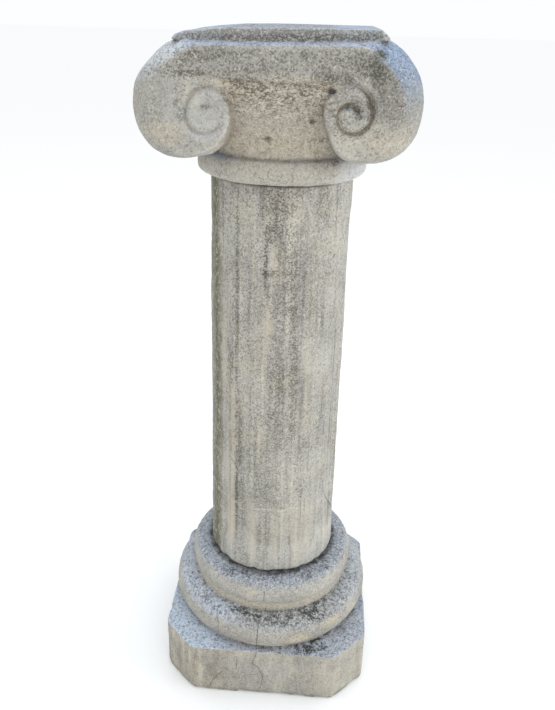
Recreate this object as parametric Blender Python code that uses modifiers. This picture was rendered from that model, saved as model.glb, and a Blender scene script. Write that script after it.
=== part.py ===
"""Small garden column of cast stone, in three castings that stand on one another.

The base is a square plinth with cut corners under two round mouldings. The shaft is fluted and
tapers a little. The capital has a neck ring, a hollowed field, a rolled volute at each corner of
its two faces, and a thin square slab on top. Metres, +Z up, the faces look along -Y and +Y, and
the origin is on the ground under the middle of the plinth.
"""

import bmesh
import bpy
from math import atan2, copysign, cos, hypot, pi, radians, sin, sqrt
from mathutils import Matrix, Vector

# Joint between two castings that stand on one another
JOINT_GAP = 0.0003

# Plinth
PLINTH_WIDTH = 0.275
PLINTH_CORNER_CUT = 0.042
PLINTH_HEIGHT = 0.079

# Round mouldings of the base, from the plinth up
LOWER_TORUS_RADIUS = 0.1365
LOWER_TORUS_ROUNDING = 0.0225
LOWER_TORUS_HEIGHT = 0.0455
FILLET_RADIUS = 0.108
FILLET_HEIGHT = 0.012
UPPER_TORUS_RADIUS = 0.112
UPPER_TORUS_ROUNDING = 0.014
UPPER_TORUS_HEIGHT = 0.0332
# Where the lower moulding meets the plinth, as a share of its rounding
TORUS_CREASE_SHARE = 0.55

# Shaft
SHAFT_HEIGHT = 0.5138
SHAFT_FOOT_RADIUS = 0.085
SHAFT_TOP_RADIUS = 0.080
FLUTES = 16
FLUTE_FILLET_WIDTH = 0.0075
FLUTE_DEPTH = 0.0024
FLUTE_MARGIN = 0.036
FLUTE_TURN = radians(-2.75)

# Capital, from its joint up
RING_HEIGHT = 0.027
RING_RADIUS = 0.0944
RING_SHOULDER = 0.014
RING_UNDERCUT = 0.0085
CREASE_RADIUS = 0.0840
BODY_HEIGHT = 0.1111
CAPITAL_DEPTH = 0.232
BAND_HEIGHT = 0.0355
BAND_SAG = 0.003
CORE_RECESS = 0.0105
FIELD_RECESS = 0.0040
FIELD_SWELL = 0.0015
FIELD_WIDTH = 0.124
ARRIS_DROP = 0.0026
ABACUS_WIDTH = 0.204
ABACUS_DEPTH = 0.203
ABACUS_HEIGHT = 0.0109
ABACUS_BATTER = 0.0025

# Volutes. They are hand-modelled and unlike: the left one hangs lower and reaches further out
EYE_SPACING = 0.134
LEFT_EYE_RISE = 0.0433
RIGHT_EYE_RISE = 0.0502
LEFT_REACH = 0.0540
RIGHT_REACH = 0.0482
LEFT_DROP = 0.0322
RIGHT_DROP = 0.0398
COIL_RADIUS = 0.0240
ROLL_BULGE_OUT = 0.027
ROLL_BULGE_DOWN = 0.009
ROLL_SQUARENESS = 6
ROLL_FULLNESS = 0.6
ROLL_END_TURN = radians(325)
# The edge between the outermost and the lowest place, as shares of both, and then round the coil
UNDERSIDE_SHARES = (0.48, 0.66)
COIL_SHARES = (1.03, 0.95, 1.0, 1.08)
GROOVE_START_RADIUS = 0.0300
GROOVE_END_RADIUS = 0.0085
GROOVE_WIDTH = 0.0090
GROOVE_DEPTH = 0.0032
# The groove's turns from the top: where it starts, where it has closed in on the eye, and its end
GROOVE_START_TURN = radians(-42)
GROOVE_CLOSED_TURN = radians(300)
GROOVE_END_TURN = radians(450)
GROOVE_TAPER_SHARE = 0.45

# How finely round things are faceted
BASE_STEPS = 72
FLUTE_STEPS = 8
CORE_STEPS = 64
MOULDING_STEPS = 7
UNDERCUT_STEPS = 4
FIELD_STEPS = 7
FIELD_COLUMNS = 9
ROLL_STEPS = 26
GROOVE_STEPS = 22
SMOOTH_ANGLE = radians(35)

STONE_COLOUR = (0.55, 0.53, 0.49, 1.0)
STONE_ROUGHNESS = 0.9

# Heights of the joints and of the capital's parts
FILLET_FOOT = PLINTH_HEIGHT + LOWER_TORUS_HEIGHT
UPPER_TORUS_FOOT = FILLET_FOOT + FILLET_HEIGHT
BASE_TOP = UPPER_TORUS_FOOT + UPPER_TORUS_HEIGHT
SHAFT_FOOT = BASE_TOP + JOINT_GAP
SHAFT_TOP = SHAFT_FOOT + SHAFT_HEIGHT
CAPITAL_FOOT = SHAFT_TOP + JOINT_GAP
RING_TOP = CAPITAL_FOOT + RING_HEIGHT
BODY_TOP = RING_TOP + BODY_HEIGHT
BAND_FOOT = BODY_TOP - BAND_HEIGHT
COLUMN_TOP = BODY_TOP + ABACUS_HEIGHT


def clear_scene():
    for obj in list(bpy.data.objects):
        bpy.data.objects.remove(obj)


def collection(name):
    made = bpy.data.collections.new(name)
    bpy.context.scene.collection.children.link(made)
    return made


def stone(name):
    """The bare colour of one casting."""
    material = bpy.data.materials.new(name)
    material.use_nodes = True
    shader = material.node_tree.nodes["Principled BSDF"]
    shader.inputs["Base Color"].default_value = STONE_COLOUR
    shader.inputs["Roughness"].default_value = STONE_ROUGHNESS
    shader.inputs["Metallic"].default_value = 0.0
    return material


def mesh_object(name, bm, home):
    """An object from a bmesh, with its faces turned outwards."""
    bmesh.ops.recalc_face_normals(bm, faces=bm.faces)
    mesh = bpy.data.meshes.new(name)
    bm.to_mesh(mesh)
    bm.free()
    obj = bpy.data.objects.new(name, mesh)
    home.objects.link(obj)
    return obj


def turned(name, profile, steps, home):
    """A body turned about Z from a profile that runs from the axis at its top to the axis at its foot."""
    mesh = bpy.data.meshes.new(name)
    edges = [(i, i + 1) for i in range(len(profile) - 1)]
    mesh.from_pydata([(radius, 0.0, height) for radius, height in profile], edges, [])
    obj = bpy.data.objects.new(name, mesh)
    home.objects.link(obj)
    screw = obj.modifiers.new("Turn", "SCREW")
    screw.steps = steps
    screw.render_steps = steps
    screw.use_merge_vertices = True
    screw.merge_threshold = 0.00001
    return obj


def settled(obj):
    """The same object with its modifiers or its curve made into plain mesh."""
    evaluated = obj.evaluated_get(bpy.context.evaluated_depsgraph_get())
    mesh = bpy.data.meshes.new_from_object(evaluated)
    bm = bmesh.new()
    bm.from_mesh(mesh)
    bmesh.ops.remove_doubles(bm, verts=bm.verts, dist=0.00001)
    bm.to_mesh(mesh)
    bm.free()
    plain = bpy.data.objects.new(obj.name + " plain", mesh)
    plain.matrix_world = obj.matrix_world
    for home in obj.users_collection:
        home.objects.link(plain)
    bpy.data.objects.remove(obj)
    return plain


def as_tool(obj):
    """Mark an object that only shapes another one."""
    obj.hide_render = True
    obj.display_type = "WIRE"


def shape_with(obj, tool, operation):
    as_tool(tool)
    boolean = obj.modifiers.new(operation.title() + " " + tool.name, "BOOLEAN")
    boolean.operation = operation
    boolean.solver = "EXACT"
    boolean.object = tool


def finish(obj, name, material):
    obj.name = name
    obj.data.materials.clear()
    obj.data.materials.append(material)
    obj.data.shade_smooth()
    obj.data.set_sharp_from_angle(angle=SMOOTH_ANGLE)


def rounding(middle_radius, reach, foot, height, foot_radius):
    """Outer side of a round moulding, from the top of its curve down to where it meets foot_radius."""
    end = -pi / 2
    if foot_radius > middle_radius:
        out = foot_radius - middle_radius
        end = -atan2(sqrt(max(reach ** 2 - out ** 2, 0.0)), out)
    # The curve's half height is chosen so that its end lies on the foot
    half = height / (1 - sin(end))
    points = []
    for step in range(MOULDING_STEPS + 1):
        angle = pi / 2 + (end - pi / 2) * step / MOULDING_STEPS
        points.append((middle_radius + reach * cos(angle), foot + height - half + half * sin(angle)))
    return points


def base_profile():
    upper_middle = UPPER_TORUS_RADIUS - UPPER_TORUS_ROUNDING
    lower_middle = LOWER_TORUS_RADIUS - LOWER_TORUS_ROUNDING
    crease_radius = lower_middle + LOWER_TORUS_ROUNDING * TORUS_CREASE_SHARE
    profile = [(0.0, BASE_TOP)]
    profile += rounding(
        upper_middle, UPPER_TORUS_ROUNDING, UPPER_TORUS_FOOT, UPPER_TORUS_HEIGHT, FILLET_RADIUS
    )
    profile.append((FILLET_RADIUS, FILLET_FOOT))
    profile += rounding(
        lower_middle, LOWER_TORUS_ROUNDING, PLINTH_HEIGHT, LOWER_TORUS_HEIGHT, crease_radius
    )
    sunk = PLINTH_HEIGHT / 2
    profile.append((crease_radius, sunk))
    profile.append((0.0, sunk))
    return profile


def make_base(parts, tools, material):
    """Plinth with cut corners, under the two round mouldings, in one casting."""
    bm = bmesh.new()
    bmesh.ops.create_cube(bm, size=1.0)
    size = Vector((PLINTH_WIDTH, PLINTH_WIDTH, PLINTH_HEIGHT))
    bmesh.ops.transform(bm, verts=bm.verts, matrix=Matrix.Diagonal(size).to_4x4())
    bmesh.ops.translate(bm, verts=bm.verts, vec=(0.0, 0.0, PLINTH_HEIGHT / 2))
    upright = [
        edge for edge in bm.edges
        if abs(edge.verts[0].co.z - edge.verts[1].co.z) > PLINTH_HEIGHT / 2
    ]
    bmesh.ops.bevel(bm, geom=upright, offset=PLINTH_CORNER_CUT, segments=1, affect="EDGES")
    base = mesh_object("base", bm, parts)
    shape_with(base, turned("base mouldings", base_profile(), BASE_STEPS, tools), "UNION")
    finish(base, "base", material)


def shaft_radius(height):
    share = (height - SHAFT_FOOT) / SHAFT_HEIGHT
    return SHAFT_FOOT_RADIUS + (SHAFT_TOP_RADIUS - SHAFT_FOOT_RADIUS) * share


def flute_sink(angle, height):
    """How deep the flutes lie at a place on the shaft: shallow hollows with round ends."""
    period = 2 * pi / FLUTES
    across = (angle - FLUTE_TURN - pi / 2 + period / 2) % period - period / 2
    half_width = (period * SHAFT_FOOT_RADIUS - FLUTE_FILLET_WIDTH) / 2
    foot = SHAFT_FOOT + FLUTE_MARGIN + half_width
    top = SHAFT_TOP - FLUTE_MARGIN - half_width
    beyond = max(foot - height, height - top, 0.0)
    reach = hypot(across * SHAFT_FOOT_RADIUS, beyond) / half_width
    return FLUTE_DEPTH * max(0.0, 1.0 - reach ** 2)


def make_shaft(parts, material):
    """Tapered shaft whose flutes stop short of both ends."""
    half_width = (2 * pi / FLUTES * SHAFT_FOOT_RADIUS - FLUTE_FILLET_WIDTH) / 2
    end_steps = [FLUTE_MARGIN + half_width * share for share in (0.0, 0.3, 0.62, 1.0)]
    heights = [SHAFT_FOOT] + [SHAFT_FOOT + step for step in end_steps]
    heights += [SHAFT_TOP - step for step in reversed(end_steps)] + [SHAFT_TOP]
    profile = [(0.0, SHAFT_TOP)]
    profile += [(shaft_radius(height), height) for height in reversed(heights)]
    profile.append((0.0, SHAFT_FOOT))
    shaft = settled(turned("shaft blank", profile, FLUTES * FLUTE_STEPS, parts))
    shaft.data.transform(Matrix.Rotation(FLUTE_TURN, 4, "Z"))
    for vertex in shaft.data.vertices:
        x, y, height = vertex.co
        radius = hypot(x, y)
        if radius > SHAFT_TOP_RADIUS / 2:
            shrink = 1.0 - flute_sink(atan2(y, x), height) / radius
            vertex.co = (x * shrink, y * shrink, height)
    finish(shaft, "shaft", material)


def volute(side):
    """Eye place and the edge's radii at each eighth of a turn: over the top, outwards, down and back in."""
    if side < 0:
        rise, reach, drop = LEFT_EYE_RISE, LEFT_REACH, LEFT_DROP
    else:
        rise, reach, drop = RIGHT_EYE_RISE, RIGHT_REACH, RIGHT_DROP
    eye_height = RING_TOP + rise
    top = BODY_TOP - ARRIS_DROP - eye_height
    underside = reach * UNDERSIDE_SHARES[0] + drop * UNDERSIDE_SHARES[1]
    radii = [top, (top + reach) / 2, reach, underside, drop]
    radii += [COIL_RADIUS * share for share in COIL_SHARES]
    return side * EYE_SPACING / 2, eye_height, radii


def edge_radius(radii, turn):
    """Radius of a volute's edge at a turn from the top, by a smooth curve through its eighths."""
    place = turn / (pi / 4)
    index = min(int(place), len(radii) - 2)
    share = place - index
    before = radii[max(index - 1, 0)]
    start = radii[index]
    end = radii[index + 1]
    after = radii[min(index + 2, len(radii) - 1)]
    leave = (end - before) / 2
    arrive = (after - start) / 2
    bend = 3 * (end - start) - 2 * leave - arrive
    turn_back = leave + arrive - 2 * (end - start)
    return start + leave * share + bend * share ** 2 + turn_back * share ** 3


def roll_edge(side, bulge):
    """Section of a roll from its top round the outside to the band's foot; bulge is 0 at a face, 1 midway."""
    eye_x, eye_height, radii = volute(side)
    points = []
    for step in range(ROLL_STEPS + 1):
        turn = ROLL_END_TURN * step / ROLL_STEPS
        radius = edge_radius(radii, turn)
        out = radius * sin(turn) + bulge * ROLL_BULGE_OUT * max(sin(turn), 0.0) ** ROLL_FULLNESS
        lift = ROLL_BULGE_DOWN * copysign(abs(cos(turn)) ** ROLL_FULLNESS, cos(turn))
        if sin(turn) < 0:
            lift = ROLL_BULGE_DOWN * min(cos(turn), 0.0)
        height = eye_height + radius * cos(turn) + bulge * lift
        top = BODY_TOP - ARRIS_DROP * (1 - bulge)
        points.append((eye_x + side * out, min(height, top)))
    return points


def body_section(bulge):
    """Closed section of the capital's body: the band and the two rolls, clockwise from the middle."""
    left = roll_edge(-1, bulge)
    right = roll_edge(1, bulge)
    foot = []
    half = min(abs(left[-1][0]), right[-1][0])
    for share in (1.0, 0.6, 0.2, -0.2, -0.6, -1.0):
        foot.append((half * share, BAND_FOOT + BAND_SAG * share ** 2))
    top = BODY_TOP - ARRIS_DROP * (1 - bulge)
    middle = [(share * EYE_SPACING / 2, top) for share in (-0.5, 0.0, 0.5)]
    return middle + right + foot + list(reversed(left))


def make_body(tools):
    """The band and the rolls as a loft from face to face, swelling between them."""
    bm = bmesh.new()
    shares = (-1.0, -0.96, -0.9, -0.82, -0.7, -0.5, 0.0, 0.5, 0.7, 0.82, 0.9, 0.96, 1.0)
    rings = []
    for share in shares:
        bulge = 1 - abs(share) ** ROLL_SQUARENESS
        section = body_section(bulge)
        rings.append([bm.verts.new((x, share * CAPITAL_DEPTH / 2, z)) for x, z in section])
    for near, far in zip(rings, rings[1:]):
        for i in range(len(near)):
            j = (i + 1) % len(near)
            bm.faces.new((near[i], near[j], far[j], far[i]))
    bm.faces.new(rings[0])
    bm.faces.new(rings[-1])
    return mesh_object("capital body", bm, tools)


def core_profile():
    """The neck ring and the hollowed bell above it."""
    band_radius = CAPITAL_DEPTH / 2 - CORE_RECESS
    profile = [(0.0, BAND_FOOT + BAND_HEIGHT / 3), (band_radius, BAND_FOOT + BAND_HEIGHT / 3)]
    cove_height = BAND_FOOT - RING_TOP
    for step in range(MOULDING_STEPS + 1):
        angle = pi / 2 * step / MOULDING_STEPS
        radius = band_radius - (band_radius - CREASE_RADIUS) * sin(angle)
        profile.append((radius, BAND_FOOT - cove_height * (1 - cos(angle))))
    for step in range(1, MOULDING_STEPS + 1):
        angle = pi / 2 * (1 - step / MOULDING_STEPS)
        radius = CREASE_RADIUS + (RING_RADIUS - CREASE_RADIUS) * cos(angle)
        profile.append((radius, RING_TOP - RING_SHOULDER * (1 - sin(angle))))
    for step in range(UNDERCUT_STEPS + 1):
        angle = pi / 2 * step / UNDERCUT_STEPS
        radius = SHAFT_TOP_RADIUS + (RING_RADIUS - SHAFT_TOP_RADIUS) * cos(angle)
        profile.append((radius, CAPITAL_FOOT + RING_UNDERCUT * (1 - sin(angle))))
    profile.append((0.0, CAPITAL_FOOT))
    return profile


def make_field(tools):
    """The field between the volutes, alike on both faces: flat under the band, round on the ring."""
    bm = bmesh.new()
    foot_radius = CREASE_RADIUS + FIELD_SWELL
    lip = CAPITAL_DEPTH / 2 - FIELD_RECESS
    rise = BAND_FOOT - RING_TOP
    heights = [RING_TOP - RING_SHOULDER / 2]
    heights += [RING_TOP + rise * step / FIELD_STEPS for step in range(FIELD_STEPS + 1)]
    heights.append(BAND_FOOT + BAND_HEIGHT / 4)
    rings = []
    for height in heights:
        share = min(max((height - RING_TOP) / rise, 0.0), 1.0)
        flatness = share ** 2 * (3 - 2 * share)
        front = []
        for column in range(FIELD_COLUMNS + 1):
            across = FIELD_WIDTH * (column / FIELD_COLUMNS - 0.5)
            round_depth = sqrt(foot_radius ** 2 - across ** 2)
            depth = round_depth + (lip - round_depth) * flatness
            front.append((across, -depth, height))
        back = [(-x, -y, z) for x, y, z in front]
        rings.append([bm.verts.new(point) for point in front + back])
    for lower, upper in zip(rings, rings[1:]):
        for i in range(len(lower)):
            j = (i + 1) % len(lower)
            bm.faces.new((lower[i], lower[j], upper[j], upper[i]))
    bm.faces.new(rings[0])
    bm.faces.new(rings[-1])
    # Plain triangles keep the leaning faces flat where the band's foot cuts them
    bmesh.ops.triangulate(bm, faces=bm.faces)
    return mesh_object("field", bm, tools)


def make_abacus(tools):
    """Thin square slab, a little narrower at its top, let into the body."""
    bm = bmesh.new()
    bmesh.ops.create_cube(bm, size=1.0)
    sunk = BAND_HEIGHT / 8
    for vertex in bm.verts:
        inset = ABACUS_BATTER if vertex.co.z > 0 else 0.0
        height = COLUMN_TOP if vertex.co.z > 0 else BODY_TOP - sunk
        vertex.co.x *= ABACUS_WIDTH - 2 * inset
        vertex.co.y *= ABACUS_DEPTH - 2 * inset
        vertex.co.z = height
    return mesh_object("abacus", bm, tools)


def groove_radius(turn):
    """Distance of the spiral groove from the eye: it closes in, then runs round the eye."""
    share = min(max(turn / GROOVE_CLOSED_TURN, 0.0), 1.0)
    ease = share ** 2 * (3 - 2 * share)
    return GROOVE_START_RADIUS + (GROOVE_END_RADIUS - GROOVE_START_RADIUS) * ease


def make_groove(side, face, tools):
    """Spiral cutter for one volute on one face, open to the field where it starts."""
    eye_x, eye_height = volute(side)[:2]
    tube_radius = (GROOVE_WIDTH ** 2 / 4 + GROOVE_DEPTH ** 2) / (2 * GROOVE_DEPTH)
    name = "groove " + ("left" if side < 0 else "right") + (" front" if face < 0 else " back")
    curve = bpy.data.curves.new(name, "CURVE")
    curve.dimensions = "3D"
    curve.bevel_depth = tube_radius
    curve.bevel_resolution = 2
    curve.use_fill_caps = True
    spline = curve.splines.new("POLY")
    spline.points.add(GROOVE_STEPS)
    for step, point in enumerate(spline.points):
        turn = GROOVE_START_TURN + (GROOVE_END_TURN - GROOVE_START_TURN) * step / GROOVE_STEPS
        radius = groove_radius(turn)
        narrowing = 1.0 - GROOVE_TAPER_SHARE * max(turn, 0.0) / GROOVE_END_TURN
        out = tube_radius * narrowing - GROOVE_DEPTH * narrowing
        across = eye_x + side * radius * sin(turn)
        height = eye_height + radius * cos(turn)
        point.co = (across, face * (CAPITAL_DEPTH / 2 + out), height, 1.0)
        point.radius = narrowing
    obj = bpy.data.objects.new(name, curve)
    tools.objects.link(obj)
    return settled(obj)


def make_capital(parts, tools, material):
    """Neck ring, bell, fields, rolls and slab, in one casting."""
    capital = turned("capital", core_profile(), CORE_STEPS, parts)
    shape_with(capital, make_field(tools), "UNION")
    shape_with(capital, make_body(tools), "UNION")
    shape_with(capital, make_abacus(tools), "UNION")
    for face in (-1, 1):
        for side in (-1, 1):
            shape_with(capital, make_groove(side, face, tools), "DIFFERENCE")
    finish(capital, "capital", material)


def main():
    clear_scene()
    parts = collection("ionic column")
    tools = collection("shaping tools")
    make_base(parts, tools, stone("base stone"))
    make_shaft(parts, stone("shaft stone"))
    make_capital(parts, tools, stone("capital stone"))


main()
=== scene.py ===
from math import cos, pi, radians, sin

import bpy
import numpy as np
from mathutils import Matrix, Vector


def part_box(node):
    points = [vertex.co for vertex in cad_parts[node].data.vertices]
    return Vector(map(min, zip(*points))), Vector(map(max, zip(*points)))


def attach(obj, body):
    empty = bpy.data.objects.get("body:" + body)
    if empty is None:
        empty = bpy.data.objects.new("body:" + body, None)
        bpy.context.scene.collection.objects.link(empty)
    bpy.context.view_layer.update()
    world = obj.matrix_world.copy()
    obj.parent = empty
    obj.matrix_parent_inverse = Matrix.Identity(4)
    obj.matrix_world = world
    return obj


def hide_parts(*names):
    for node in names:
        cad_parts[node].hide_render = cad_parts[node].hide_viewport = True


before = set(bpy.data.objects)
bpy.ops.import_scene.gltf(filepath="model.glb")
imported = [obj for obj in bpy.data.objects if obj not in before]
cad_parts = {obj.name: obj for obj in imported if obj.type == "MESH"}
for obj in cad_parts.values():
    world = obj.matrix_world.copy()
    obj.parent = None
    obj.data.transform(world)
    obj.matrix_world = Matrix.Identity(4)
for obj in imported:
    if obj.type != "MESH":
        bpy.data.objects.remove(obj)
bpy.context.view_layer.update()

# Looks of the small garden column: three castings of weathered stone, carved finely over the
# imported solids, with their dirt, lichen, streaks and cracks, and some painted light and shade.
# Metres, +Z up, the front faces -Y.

BASE_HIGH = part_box("base")[1]
SHAFT_LOW, SHAFT_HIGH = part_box("shaft")
CAPITAL_LOW, CAPITAL_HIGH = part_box("capital")

# Base: square plinth with cut corners under two round mouldings
PLINTH_HALF = BASE_HIGH.x
PLINTH_CORNER_CUT = 0.042
PLINTH_HEIGHT = 0.079
LOWER_TORUS_RADIUS = 0.1365
LOWER_TORUS_ROUNDING = 0.0225
LOWER_TORUS_HEIGHT = 0.0455
FILLET_RADIUS = 0.108
FILLET_HEIGHT = 0.012
UPPER_TORUS_RADIUS = 0.112
UPPER_TORUS_ROUNDING = 0.014
TORUS_CREASE_SHARE = 0.55
PLINTH_WORN_ARRIS = 0.0022
PLINTH_TOP_CHIPS = 0.0022
PLINTH_FOOT_CHIPS = 0.0024
UPPER_TORUS_FOOT = PLINTH_HEIGHT + LOWER_TORUS_HEIGHT + FILLET_HEIGHT
BASE_TOP = BASE_HIGH.z

# Shaft
SHAFT_FOOT = SHAFT_LOW.z
SHAFT_TOP = SHAFT_HIGH.z
SHAFT_FOOT_RADIUS = 0.085
SHAFT_TOP_RADIUS = 0.080
FLUTES = 16
FLUTE_FILLET_WIDTH = 0.0075
FLUTE_DEPTH = 0.0024
FLUTE_MARGIN = 0.036
FLUTE_TURN = radians(-2.75)
SHAFT_WORN_RIM = 0.0016
SHAFT_FOOT_BITES = 0.0020

# Capital
CAPITAL_FOOT = CAPITAL_LOW.z
COLUMN_TOP = CAPITAL_HIGH.z
CAPITAL_DEPTH = CAPITAL_HIGH.y - CAPITAL_LOW.y
ABACUS_HEIGHT = 0.0109
ABACUS_WIDTH = 0.204
ABACUS_DEPTH = 0.203
ABACUS_BATTER = 0.0025
SLAB_OVERHANG = 0.018
SLAB_SEAT = 0.001
BODY_TOP = COLUMN_TOP - ABACUS_HEIGHT
RING_TOP = CAPITAL_FOOT + 0.027
RING_RADIUS = 0.0944
RING_SHOULDER = 0.014
RING_UNDERCUT = 0.0085
CREASE_RADIUS = 0.0840
BAND_HEIGHT = 0.0355
BAND_FOOT = BODY_TOP - BAND_HEIGHT
BAND_SAG = 0.003
CORE_RECESS = 0.0105
FIELD_RECESS = 0.0040
FIELD_SWELL = 0.0015
FIELD_WIDTH = 0.124
ARRIS_DROP = 0.0026
EYE_SPACING = 0.134
COIL_RADIUS = 0.0240
ROLL_BULGE_OUT = 0.027
ROLL_BULGE_DOWN = 0.009
ROLL_SQUARENESS = 6
ROLL_FULLNESS = 0.6
ROLL_END_TURN = 325
UNDERSIDE_SHARES = (0.48, 0.66)
COIL_SHARES = (1.03, 0.95, 1.0, 1.08)
# How far out of level the capital lies, and how far its slab's ends are lifted, sunk and worn
CAPITAL_TILT = 0.0036
MIDDLE_LIFT = 0.0013
LEFT_END_DROP = 0.0030
ENDS_LIFT = 0.0021
RIGHT_CORNER_WEAR = 0.0065
# Each volute: side of the column, eye's height over the ring, reach outwards and drop below the eye
LEFT_VOLUTE = (-1, 0.0433, 0.0540, 0.0322)
RIGHT_VOLUTE = (1, 0.0502, 0.0482, 0.0398)
# The volutes' grooves: turn from the top in degrees, distance from the eye, depth
RIGHT_GROOVE = (
    (-44, 0.029, 0), (-25, 0.0283, 0.002), (0, 0.0275, 0.0036), (32, 0.0257, 0.0042),
    (81, 0.024, 0.0044), (120, 0.0232, 0.0042), (148, 0.0212, 0.0038), (178, 0.0183, 0.0033),
    (208, 0.0152, 0.0028), (268, 0.01, 0.0024), (305, 0.0085, 0.0038), (358, 0.0078, 0.0046),
    (400, 0.0084, 0.0042), (436, 0.0098, 0.0036), (452, 0.0104, 0),
)
LEFT_GROOVE = (
    (-44, 0.0285, 0), (-25, 0.0283, 0.002), (0, 0.0272, 0.003), (32, 0.024, 0.0034),
    (81, 0.0212, 0.0034), (120, 0.02, 0.0034), (148, 0.0178, 0.003), (178, 0.0156, 0.0028),
    (217, 0.015, 0.0024), (266, 0.0133, 0.0014), (303, 0.0118, 0.0014), (342, 0.0105, 0.0026),
    (370, 0.0095, 0.003), (410, 0.0085, 0.0016), (440, 0.008, 0),
)
GROOVE_OUTER_WALL = 0.0019
GROOVE_FLOOR = 0.0010
GROOVE_INNER_SLOPE = 0.0050

# How finely the pieces are cut
SHAFT_AROUND = 384
BASE_AROUND = 512
FINE_STEP = 0.0019
CAPITAL_VOXEL = 0.00125
CAPITAL_TRIANGLES = 192000
ROLL_SECTIONS = 61
CORE_AROUND = 200

# Surface of the castings: height and width of each swell; width, rarity and depth of each pit
SWELLS = ((0.0006, 0.045), (0.0004, 0.016), (0.00022, 0.0065))
PITS = ((0.0042, 0.62, 0.90, 0.0007), (0.0095, 0.70, 0.92, 0.0011))
SAND_HEIGHT = 0.00016
SAND_WIDTH = 0.0026
# The stone's finish: its dark grains, how far and how often they shift, and how far cracks waver
GRAIN_WIDTH = 0.00145
GRAIN_SHIFT = 0.0016
GRAIN_DRIFT = 0.004
CRACK_WAVER = 0.0030
# Metres along the surface for one degree of turn
BASE_DEGREE = 0.0024
SHAFT_DEGREE = 0.00145


# Small numeric tools

def smooth(low, high, value):
    """0 below low, 1 above high, an even curve between."""
    share = np.clip((value - low) / (high - low), 0.0, 1.0)
    return share * share * (3 - 2 * share)


def lattice(cell, seed):
    """A number from -1 to 1 for each cell of a grid, the same in every run."""
    mixed = cell @ np.array([73856093, 19349663, 83492791]) + seed * 15485863
    for _ in range(2):
        mixed = ((mixed ^ (mixed >> 15)) * 73244475 + seed) & 0x7FFFFFFF
    return mixed / 0x3FFFFFFF - 1.0


def lumps(points, size, seed):
    """Smooth noise from -1 to 1 with lumps about size metres across."""
    place = points / size + 1000.0
    cell = np.floor(place).astype(np.int64)
    share = place - cell
    share = share * share * (3 - 2 * share)
    total = np.zeros(len(points))
    for corner in np.ndindex(2, 2, 2):
        weight = np.prod(np.where(corner, share, 1 - share), axis=1)
        total += weight * lattice(cell + np.array(corner), seed)
    return total


def through(knots, column, where):
    """Smooth curve through one column of a groove's knots, over its turn."""
    turn = np.array([knot[0] for knot in knots], float)
    values = np.array([knot[column] for knot in knots], float)
    slopes = np.gradient(values, turn)
    index = np.clip(np.searchsorted(turn, where) - 1, 0, len(turn) - 2)
    width = turn[index + 1] - turn[index]
    share = np.clip((where - turn[index]) / width, 0.0, 1.0)
    start, end = values[index], values[index + 1]
    leave, arrive = slopes[index] * width, slopes[index + 1] * width
    bend = 3 * (end - start) - 2 * leave - arrive
    back = leave + arrive - 2 * (end - start)
    return start + leave * share + bend * share ** 2 + back * share ** 3


# Mesh tools

def read(mesh, kind, field, width):
    """One property of all the mesh's points or edges, as an array."""
    items = getattr(mesh, kind)
    values = np.zeros(len(items) * width, np.int32 if field == "vertices" else np.float32)
    items.foreach_get(field, values)
    return values.reshape(-1, width).astype(np.int64 if field == "vertices" else float)


def write_points(mesh, points):
    mesh.vertices.foreach_set("co", points.astype(np.float32).ravel())
    mesh.update()


def relaxed(points, edges, rounds, mask=None):
    """Points drawn halfway to the middle of their neighbours."""
    a, b = edges.T
    count = np.bincount(a, minlength=len(points)) + np.bincount(b, minlength=len(points))
    pull = 0.5 if mask is None else 0.5 * mask[:, None]
    for _ in range(rounds):
        middle = np.stack([
            np.bincount(a, points[b, axis], len(points)) + np.bincount(b, points[a, axis], len(points))
            for axis in range(3)
        ], axis=1) / count[:, None]
        points = points + pull * (middle - points)
    return points


def new_object(name, data):
    obj = bpy.data.objects.new(name, data)
    bpy.context.scene.collection.objects.link(obj)
    return obj


def turns(count):
    """Angles right round the axis."""
    return np.linspace(0, 2 * pi, count, endpoint=False)


def ring(angles, radius, height):
    """A ring of points about the axis; its radius is one number, or one for each point."""
    return np.column_stack([np.cos(angles) * radius, np.sin(angles) * radius, np.full(len(angles), height)])


def quads(rows, around, start=0):
    """Faces between rings of points that follow one another."""
    faces = []
    for first in range(start, start + rows * around, around):
        for k in range(around):
            n = (k + 1) % around
            faces.append((first + k, first + around + k, first + around + n, first + n))
    return faces


def capped_tube(rings):
    """Points and faces of a tube of rings, both its ends closed by one face."""
    count, around = len(rings), len(rings[0])
    ends = [tuple(range(around)), tuple(range((count - 1) * around, count * around))[::-1]]
    return np.concatenate(rings), ends + quads(count - 1, around)


def closed_rings(name, rings):
    """A closed mesh from rings of points, the first and last of which shrink to one point."""
    count, around = rings.shape[:2]
    points = np.concatenate([rings[0, :1], rings[1:-1].reshape(-1, 3), rings[-1, :1]])
    faces = quads(count - 3, around, 1)
    last = len(points) - 1
    for k in range(around):
        n = (k + 1) % around
        faces.append((0, 1 + k, 1 + n))
        faces.append((last, last - around + n, last - around + k))
    mesh = bpy.data.meshes.new(name)
    mesh.from_pydata(points.tolist(), [], faces)
    mesh.validate()
    return mesh


def stepped(profile, step):
    """A profile's points again, no further apart than step."""
    points = [profile[0]]
    for start, end in zip(profile, profile[1:]):
        pieces = max(int(np.ceil(np.hypot(end[0] - start[0], end[1] - start[1]) / step)), 1)
        for k in range(1, pieces + 1):
            share = k / pieces
            points.append(tuple(a + (b - a) * share for a, b in zip(start, end)))
    return points


def keep_hollows(mesh, points, edges, normals, rounds, scale):
    """Store how far each point lies in a hollow (positive) or on an edge (negative)."""
    blurred = relaxed(points, edges, rounds)
    depth = ((blurred - points) * normals).sum(axis=1) / scale
    attribute = mesh.attributes.new("hollow", "FLOAT", "POINT")
    attribute.data.foreach_set("value", np.clip(depth, -1.0, 1.0).astype(np.float32))


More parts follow.
